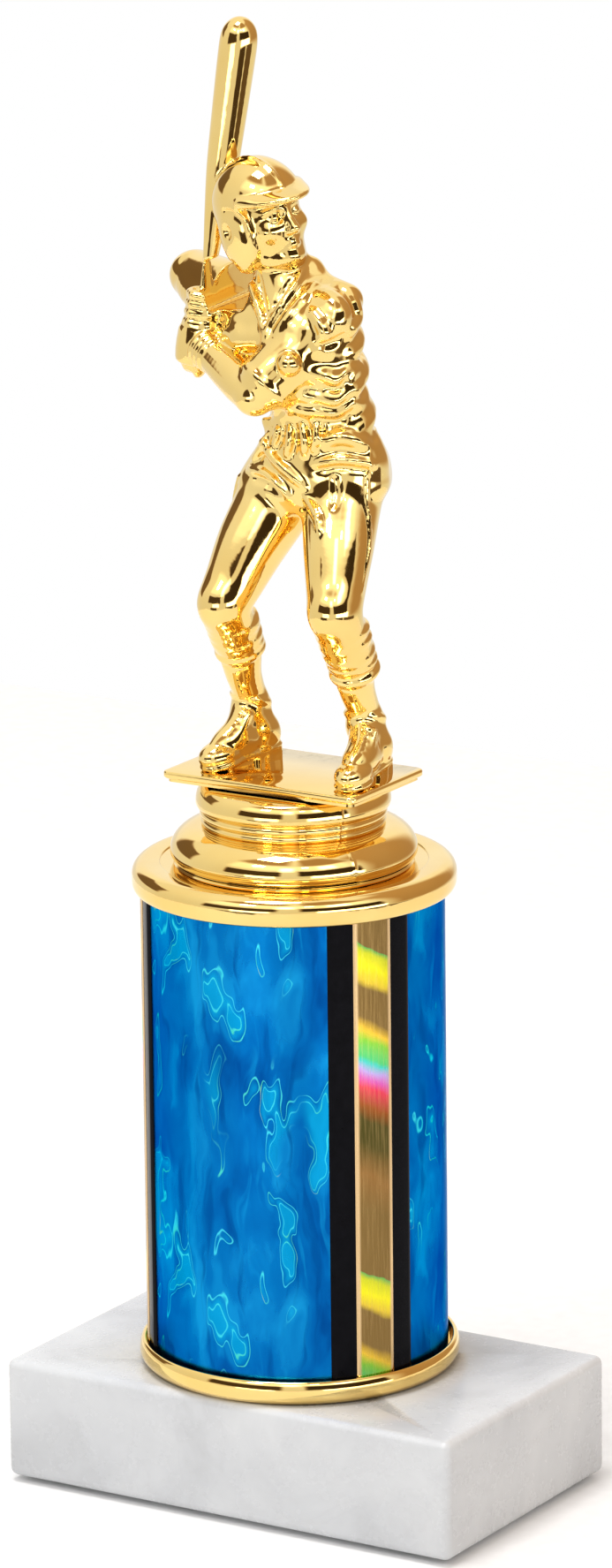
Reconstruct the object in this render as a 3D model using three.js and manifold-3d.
// Column trophy: a batting figure on a turned riser, a film-covered column and a marble base.
// Millimetres, +Z up, front towards -Y. The origin is on the floor under the middle of the base.
import * as THREE from 'three';
import { mergeVertices } from 'three/addons/utils/BufferGeometryUtils.js';
import Module from 'manifold-3d';

const wasm = await Module();
wasm.setup();

// ---------------------------------------------------------------- driving dimensions
const FIT = 0.3; // clearance between pieces that slide or screw together
const FACET_GAP = 0.06; // keeps a curved strip off the flats of the round piece it lies on
const COLUMN_X = -1; // the rod hole is drilled 1 mm left of the slab's middle

const base = { length: 88, depth: 53, height: 21, edge: 1.5, holeRadius: 4, pocketRadius: 12, pocketDepth: 9.5 };
const pad = { radius: 6, thickness: 1, inset: 9.5 };
const cup = { floor: 1.2, footRadius: 24.9, radius: 27.4, belly: 2.2, height: 4.4 };
const column = { radius: 25.4, wall: 2.2, height: 84, film: 0.3 };
const strip = { count: 3, firstAngle: -28.5, width: 35.5, thickness: 0.4 };
const band = { width: 15.9, thickness: 0.15, margin: 0.3 };
const lid = { radius: 27.45, lipRadius: 26.6, skirt: 1.6, plate: 3.3, recessRadius: 22.6, recess: 0.3 };
const riser = { radius: 20.9, footRadius: 19.4, height: 13.2, wall: 2, neckRadius: 15, topRadius: 16.5 };
const rod = { radius: 3, end: 2.5 };
const nut = { flats: 11.1, height: 5.5 };
const washer = { thickness: 1.2, fenderRadius: 10.5, lidRadius: 9.5, lockRadius: 6, lockThickness: 1.6 };
const plate = { length: 38, depth: 23.5, thickness: 1.2, step: 0.6, stepInset: 0.7, corner: 1.6 };
const boss = { radius: 6.2, length: 6, insertRadius: 4.2 };

// ---------------------------------------------------------------- heights of the stack
const baseBottom = pad.thickness;
const baseTop = baseBottom + base.height;
const pocketTop = baseBottom + base.pocketDepth;
const tubeBottom = baseTop + cup.floor;
const tubeTop = tubeBottom + column.height;
const lidTop = tubeTop + lid.plate;
const riserTop = lidTop + riser.height;
const plateBottom = riserTop + FIT;
const plateTop = plateBottom + plate.step + plate.thickness;
const rodTop = plateBottom - FIT;
const stripRadius = column.radius + FACET_GAP;
const bandRadius = stripRadius + strip.thickness + FACET_GAP;
const capBore = bandRadius + band.thickness + FIT / 2;

// ---------------------------------------------------------------- finishes
const finish = {
  marble: { color: 0xe9e9ea, roughness: 0.25, metalness: 0 },
  felt: { color: 0x2f5b3a, roughness: 0.95, metalness: 0 },
  steel: { color: 0xb7bac0, roughness: 0.35, metalness: 1 },
  brass: { color: 0xc9a24a, roughness: 0.3, metalness: 1 },
  gold: { color: 0xf2c24f, roughness: 0.08, metalness: 1 },
  white_plastic: { color: 0xdedcd6, roughness: 0.5, metalness: 0 },
  blue_film: { color: 0x1f76c4, roughness: 0.2, metalness: 0.6 },
  black_gloss: { color: 0x0b0b10, roughness: 0.12, metalness: 0 },
  prism_foil: { color: 0xb59a5a, roughness: 0.2, metalness: 0.9 },
};

const trophy = new THREE.Group();

function addPiece(name, geometry, finishName, x = 0, y = 0, z = 0) {
  const mesh = new THREE.Mesh(geometry, new THREE.MeshStandardMaterial(finish[finishName]));
  mesh.name = name;
  mesh.position.set(x, y, z);
  trophy.add(mesh);
}

// ---------------------------------------------------------------- shape helpers
const rad = THREE.MathUtils.degToRad;
const TURNED_SIDES = 40;

// A turned ring or disc: [radius, height] pairs, anticlockwise, closed on itself or on the axis.
function turned(profile, sides = TURNED_SIDES) {
  const points = profile.map(([r, z]) => new THREE.Vector2(r, z));
  return new THREE.LatheGeometry(points, sides).rotateX(Math.PI / 2);
}

function ring(inner, outer, bottom, top, sides = TURNED_SIDES) {
  return turned([[inner, bottom], [outer, bottom], [outer, top], [inner, top], [inner, bottom]], sides);
}

function disc(radius, bottom, top, sides = TURNED_SIDES) {
  return turned([[0, bottom], [radius, bottom], [radius, top], [0, top]], sides);
}

// Points of an elliptic arc in the [radius, height] plane, angles in degrees.
function arc(centre, radii, from, to, steps) {
  const points = [];
  for (let i = 0; i <= steps; i += 1) {
    const angle = rad(from + ((to - from) * i) / steps);
    points.push([centre[0] + radii[0] * Math.cos(angle), centre[1] + radii[1] * Math.sin(angle)]);
  }
  return points;
}

function roundedRectangle(length, depth, corner) {
  const shape = new THREE.Shape();
  const x = length / 2 - corner;
  const y = depth / 2 - corner;
  shape.absarc(x, y, corner, 0, rad(90), false);
  shape.absarc(-x, y, corner, rad(90), rad(180), false);
  shape.absarc(-x, -y, corner, rad(180), rad(270), false);
  shape.absarc(x, -y, corner, rad(270), rad(360), false);
  return shape;
}

function solidOf(geometry) {
  const bare = geometry.clone();
  bare.deleteAttribute('normal');
  bare.deleteAttribute('uv');
  const merged = mergeVertices(bare, 1e-5);
  return new wasm.Manifold(new wasm.Mesh({
    numProp: 3,
    vertProperties: new Float32Array(merged.attributes.position.array),
    triVerts: new Uint32Array(merged.index.array),
  }));
}

function geometryOf(solid) {
  const mesh = solid.getMesh();
  const geometry = new THREE.BufferGeometry();
  geometry.setAttribute('position', new THREE.BufferAttribute(mesh.vertProperties, 3));
  geometry.setIndex(new THREE.BufferAttribute(mesh.triVerts, 1));
  return geometry;
}

// ---------------------------------------------------------------- marble base and its pads
function marbleSlab() {
  const slab = new THREE.ExtrudeGeometry(
    roundedRectangle(base.length - 2 * base.edge, base.depth - 2 * base.edge, base.edge),
    {
      depth: base.height - 2 * base.edge,
      bevelThickness: base.edge,
      bevelSize: base.edge,
      bevelSegments: 2,
      curveSegments: 3,
    },
  ).translate(0, 0, baseBottom + base.edge);
  const rodHole = disc(base.holeRadius, 0, baseTop + 1, 24).translate(COLUMN_X, 0, 0);
  const nutPocket = disc(base.pocketRadius, 0, pocketTop, 32).translate(COLUMN_X, 0, 0);
  return geometryOf(solidOf(slab).subtract(solidOf(rodHole)).subtract(solidOf(nutPocket)));
}

addPiece('marble_base', marbleSlab(), 'marble');

const padX = base.length / 2 - pad.inset;
const padY = base.depth / 2 - pad.inset;
[[-padX, -padY], [padX, -padY], [padX, padY], [-padX, padY]].forEach(([x, y], i) => {
  addPiece(`felt_pad_${i + 1}`, disc(pad.radius, 0, pad.thickness, 24), 'felt', x, y);
});

// ---------------------------------------------------------------- rod, nuts and washers
function hexNut(height) {
  const outline = new THREE.Shape();
  const cornerRadius = nut.flats / 2 / Math.cos(rad(30));
  for (let i = 0; i < 6; i += 1) {
    outline.lineTo(cornerRadius * Math.cos(rad(60 * i)), cornerRadius * Math.sin(rad(60 * i)));
  }
  const bore = new THREE.Path();
  bore.absarc(0, 0, rod.radius + FIT, 0, Math.PI * 2, true);
  outline.curves.shift();
  outline.holes.push(bore);
  return new THREE.ExtrudeGeometry(outline, { depth: height, bevelEnabled: false, curveSegments: 12 });
}

addPiece('threaded_rod', disc(rod.radius, rod.end, rodTop, 24), 'steel', COLUMN_X);

const rodBore = rod.radius + FIT;
const lockTop = pocketTop - washer.thickness;
const baseNutTop = lockTop - washer.lockThickness;
addPiece('base_washer', ring(rodBore, washer.fenderRadius, lockTop, pocketTop, 32), 'steel', COLUMN_X);
addPiece('base_lock_washer', ring(rodBore, washer.lockRadius, baseNutTop, lockTop, 24), 'steel', COLUMN_X);
addPiece('base_nut', hexNut(nut.height), 'steel', COLUMN_X, 0, baseNutTop - nut.height);
addPiece('lid_washer', ring(rodBore, washer.lidRadius, lidTop, lidTop + washer.thickness, 32), 'steel', COLUMN_X);
addPiece('lid_nut', hexNut(nut.height), 'steel', COLUMN_X, 0, lidTop + washer.thickness);

// ---------------------------------------------------------------- column
const rodHoleRadius = rod.radius + 2 * FIT;

function columnCup() {
  const belly = baseTop + cup.belly;
  return turned([
    [rodHoleRadius, baseTop],
    ...arc([cup.footRadius, belly], [cup.radius - cup.footRadius, cup.belly], -90, 0, 4),
    ...arc([capBore, belly], [cup.radius - capBore, cup.height - cup.belly], 30, 90, 2),
    [capBore, tubeBottom],
    [rodHoleRadius, tubeBottom],
    [rodHoleRadius, baseTop],
  ]);
}

function columnLid() {
  const lip = tubeTop - lid.skirt;
  const shoulder = 2.1;
  return turned([
    [capBore, lip],
    [lid.lipRadius, lip],
    [lid.radius, lip + 1.2],
    ...arc([lid.radius - shoulder, lidTop - shoulder], [shoulder, shoulder], 0, 90, 3),
    [lid.recessRadius, lidTop],
    [lid.recessRadius - lid.recess, lidTop - lid.recess],
    [riser.footRadius + 1, lidTop - lid.recess],
    [riser.footRadius + 1 - lid.recess, lidTop],
    [rodHoleRadius, lidTop],
    [rodHoleRadius, tubeTop],
    [capBore, tubeTop],
    [capBore, lip],
  ]);
}

const tubeRadius = column.radius - column.film;
addPiece('column_cup', columnCup(), 'gold', COLUMN_X);
addPiece('column_tube', ring(tubeRadius - column.wall, tubeRadius, tubeBottom, tubeTop), 'white_plastic', COLUMN_X);
addPiece('column_film', ring(tubeRadius, column.radius, tubeBottom, tubeTop), 'blue_film', COLUMN_X);
addPiece('column_lid', columnLid(), 'gold', COLUMN_X);

// A curved strip lying on the column, centred on an angle measured from +X.
function curvedStrip(innerRadius, thickness, widthAngle, centreAngle) {
  const outline = new THREE.Shape();
  const from = rad(centreAngle - widthAngle / 2);
  const to = rad(centreAngle + widthAngle / 2);
  outline.absarc(0, 0, innerRadius + thickness, from, to, false);
  outline.absarc(0, 0, innerRadius, to, from, true);
  return new THREE.ExtrudeGeometry(outline, {
    depth: column.height - 2 * band.margin,
    bevelEnabled: false,
    curveSegments: 6,
  });
}

for (let i = 0; i < strip.count; i += 1) {
  const angle = strip.firstAngle + (360 / strip.count) * i;
  const z = tubeBottom + band.margin;
  const black = curvedStrip(stripRadius, strip.thickness, strip.width, angle);
  const prism = curvedStrip(bandRadius, band.thickness, band.width, angle);
  addPiece(`black_strip_${i + 1}`, black, 'black_gloss', COLUMN_X, 0, z);
  addPiece(`prism_band_${i + 1}`, prism, 'prism_foil', COLUMN_X, 0, z);
}

// ---------------------------------------------------------------- riser
function riserShell() {
  const neckHole = boss.radius + FIT;
  const beltZ = lidTop + 1.8;
  const beadRadius = 0.75;
  const beads = [7.1, 8.5];
  const topTorus = { z: lidTop + 10.35, radius: 1.65 };
  const shoulderRadius = riser.neckRadius;
  const domeHeight = 4.6;
  const roof = riserTop - riser.wall;
  return turned([
    [riser.footRadius - riser.wall, lidTop],
    [riser.footRadius, lidTop],
    ...arc([shoulderRadius, beltZ], [riser.radius - shoulderRadius, domeHeight], 0, 80, 4),
    ...beads.flatMap((z) => arc([shoulderRadius, lidTop + z], [beadRadius, beadRadius], -60, 60, 2)),
    ...arc([riser.topRadius - topTorus.radius, topTorus.z], [topTorus.radius, topTorus.radius], -70, 80, 4),
    [riser.neckRadius, riserTop],
    [neckHole, riserTop],
    [neckHole, roof],
    [riser.neckRadius - riser.wall, roof],
    [riser.neckRadius - riser.wall, beltZ + domeHeight - riser.wall],
    [riser.footRadius - riser.wall, beltZ],
    [riser.footRadius - riser.wall, lidTop],
  ]);
}

addPiece('riser', riserShell(), 'gold', COLUMN_X);

// ---------------------------------------------------------------- batting figure
// Joints of the body, measured from the middle of the plate's top face. Right is the batter's right.
const joint = {
  hipR: [-3.5, 3, 48.5],
  hipL: [9.5, 2.5, 50.5],
  kneeR: [-7.5, -9, 29.5],
  kneeL: [14, -9, 31],
  ankleR: [-9.5, 2, 9.5],
  ankleL: [13, 2, 11],
  heelR: [-7.5, 5, 4.5],
  heelL: [15, 5, 5],
  toeR: [-11, -9, 2],
  toeL: [17, -9, 2],
  waist: [5.5, 0.5, 60],
  chest: [2, -0.5, 74],
  shoulderR: [-10.5, 2, 80],
  shoulderL: [10, -0.5, 79.5],
  elbowR: [-21.5, 5, 82],
  elbowL: [0, -11, 66],
  handR: [-12.5, -3, 78],
  handL: [-15, -4, 71.5],
  neck: [-0.5, 0, 84],
  head: [-3, -1, 94.5],
  batTip: [-9.5, 2, 126.5],
  batKnob: [-17, -2, 67],
};

const LIMB_SIDES = 8;
const UP = new THREE.Vector3(0, 0, 1);

// Moves a piece drawn along +Z so that it starts at one point and runs towards another.
function alongLine(geometry, from, to) {
  const direction = new THREE.Vector3(...to).sub(new THREE.Vector3(...from)).normalize();
  const turn = new THREE.Quaternion().setFromUnitVectors(UP, direction);
  return geometry.applyQuaternion(turn).translate(...from);
}

// A round-ended tapering limb between two joints.
function limb(from, to, startRadius, endRadius) {
  const length = new THREE.Vector3(...from).distanceTo(new THREE.Vector3(...to));
  const profile = [
    ...arc([0, 0], [startRadius, startRadius], -90, 0, 2),
    ...arc([0, length], [endRadius, endRadius], 0, 90, 2),
  ];
  return alongLine(turned(profile, LIMB_SIDES), from, to);
}

function ellipsoid(centre, radii) {
  return new THREE.SphereGeometry(1, 12, 8).rotateX(Math.PI / 2).scale(...radii).translate(...centre);
}

function leg(side) {
  const hip = joint[`hip${side}`];
  const knee = joint[`knee${side}`];
  const ankle = joint[`ankle${side}`];
  const heel = joint[`heel${side}`];
  const toe = joint[`toe${side}`];
  const underHeel = [heel[0], heel[1] - 1.5, 1.5];
  return [
    limb(hip, knee, 6.3, 4.6),
    limb(knee, ankle, 4.4, 2.9),
    limb(ankle, heel, 3.1, 2.8),
    limb(ankle, toe, 3, 2.6),
    limb(toe, underHeel, 2.6, 2),
    limb(underHeel, heel, 2, 2.6),
  ];
}

function arm(side, wrist) {
  const shoulder = joint[`shoulder${side}`];
  const elbow = joint[`elbow${side}`];
  return [
    limb(shoulder, elbow, 4.9, 4.1),
    limb(elbow, wrist, 3.7, 2.6),
    ellipsoid(wrist, [3.3, 3.3, 3.2]),
  ];
}

function helmetBrim() {
  const turnToFace = rad(70);
  return ellipsoid([0, -6.2, 0], [5.2, 4.6, 0.9])
    .rotateX(rad(12))
    .rotateZ(turnToFace)
    .translate(joint.head[0], joint.head[1], joint.head[2] + 2.2);
}

function batProfile(length) {
  const knob = 1.8;
  const barrel = 3.2;
  return [
    ...arc([0, knob / 2], [knob, knob / 2], -90, 60, 3),
    [1.15, knob + 1],
    [1.15, length * 0.24],
    [1.4, length * 0.36],
    [2.7, length * 0.62],
    ...arc([0, length - barrel], [barrel, barrel], 0, 90, 3),
  ];
}

function figurePlate() {
  const slab = (inset, depth, z) => new THREE.ExtrudeGeometry(
    roundedRectangle(plate.length - 2 * inset, plate.depth - 2 * inset, plate.corner - inset),
    { depth, bevelEnabled: false, curveSegments: 4 },
  ).translate(0, 0, z);
  return [
    slab(0, plate.thickness, -plate.thickness),
    slab(plate.stepInset, plate.step + plate.thickness / 2, -plate.thickness - plate.step),
    disc(boss.radius, plateBottom - plateTop - boss.length, -plate.thickness / 2, 32),
  ];
}

function battingFigure() {
  const { waist, chest, shoulderL, shoulderR, neck, head, batKnob, batTip, handR, handL } = joint;
  const batLength = new THREE.Vector3(...batKnob).distanceTo(new THREE.Vector3(...batTip));
  const pelvis = [3.5, 2.5, 52.5];
  const jaw = [head[0] + 3, head[1] - 1, head[2] - 4];
  const pieces = [
    ...figurePlate(),
    ...leg('R'),
    ...leg('L'),
    ellipsoid(pelvis, [12.2, 8.2, 8]),
    limb(pelvis, waist, 8, 8),
    limb(waist, chest, 8.4, 9),
    limb(shoulderR, shoulderL, 5.2, 5.4),
    limb(chest, neck, 8.5, 4.5),
    limb(neck, head, 4, 4),
    ellipsoid(head, [7.4, 7.4, 9]),
    ellipsoid(jaw, [4.8, 5, 5.4]),
    helmetBrim(),
    ...arm('R', handR),
    ...arm('L', handL),
    alongLine(turned(batProfile(batLength), LIMB_SIDES + 2), batKnob, batTip),
  ];
  const insertBore = disc(boss.insertRadius + FIT, -20, plateBottom - plateTop, 24);
  const whole = pieces.map(solidOf).reduce((sum, piece) => sum.add(piece));
  return geometryOf(whole.subtract(solidOf(insertBore)));
}

addPiece('batting_figure', battingFigure(), 'gold', COLUMN_X, 0, plateTop);

const insertBottom = plateBottom - boss.length;
addPiece('figure_insert', ring(rodBore, boss.insertRadius, insertBottom, rodTop, 24), 'brass', COLUMN_X);

export default trophy;
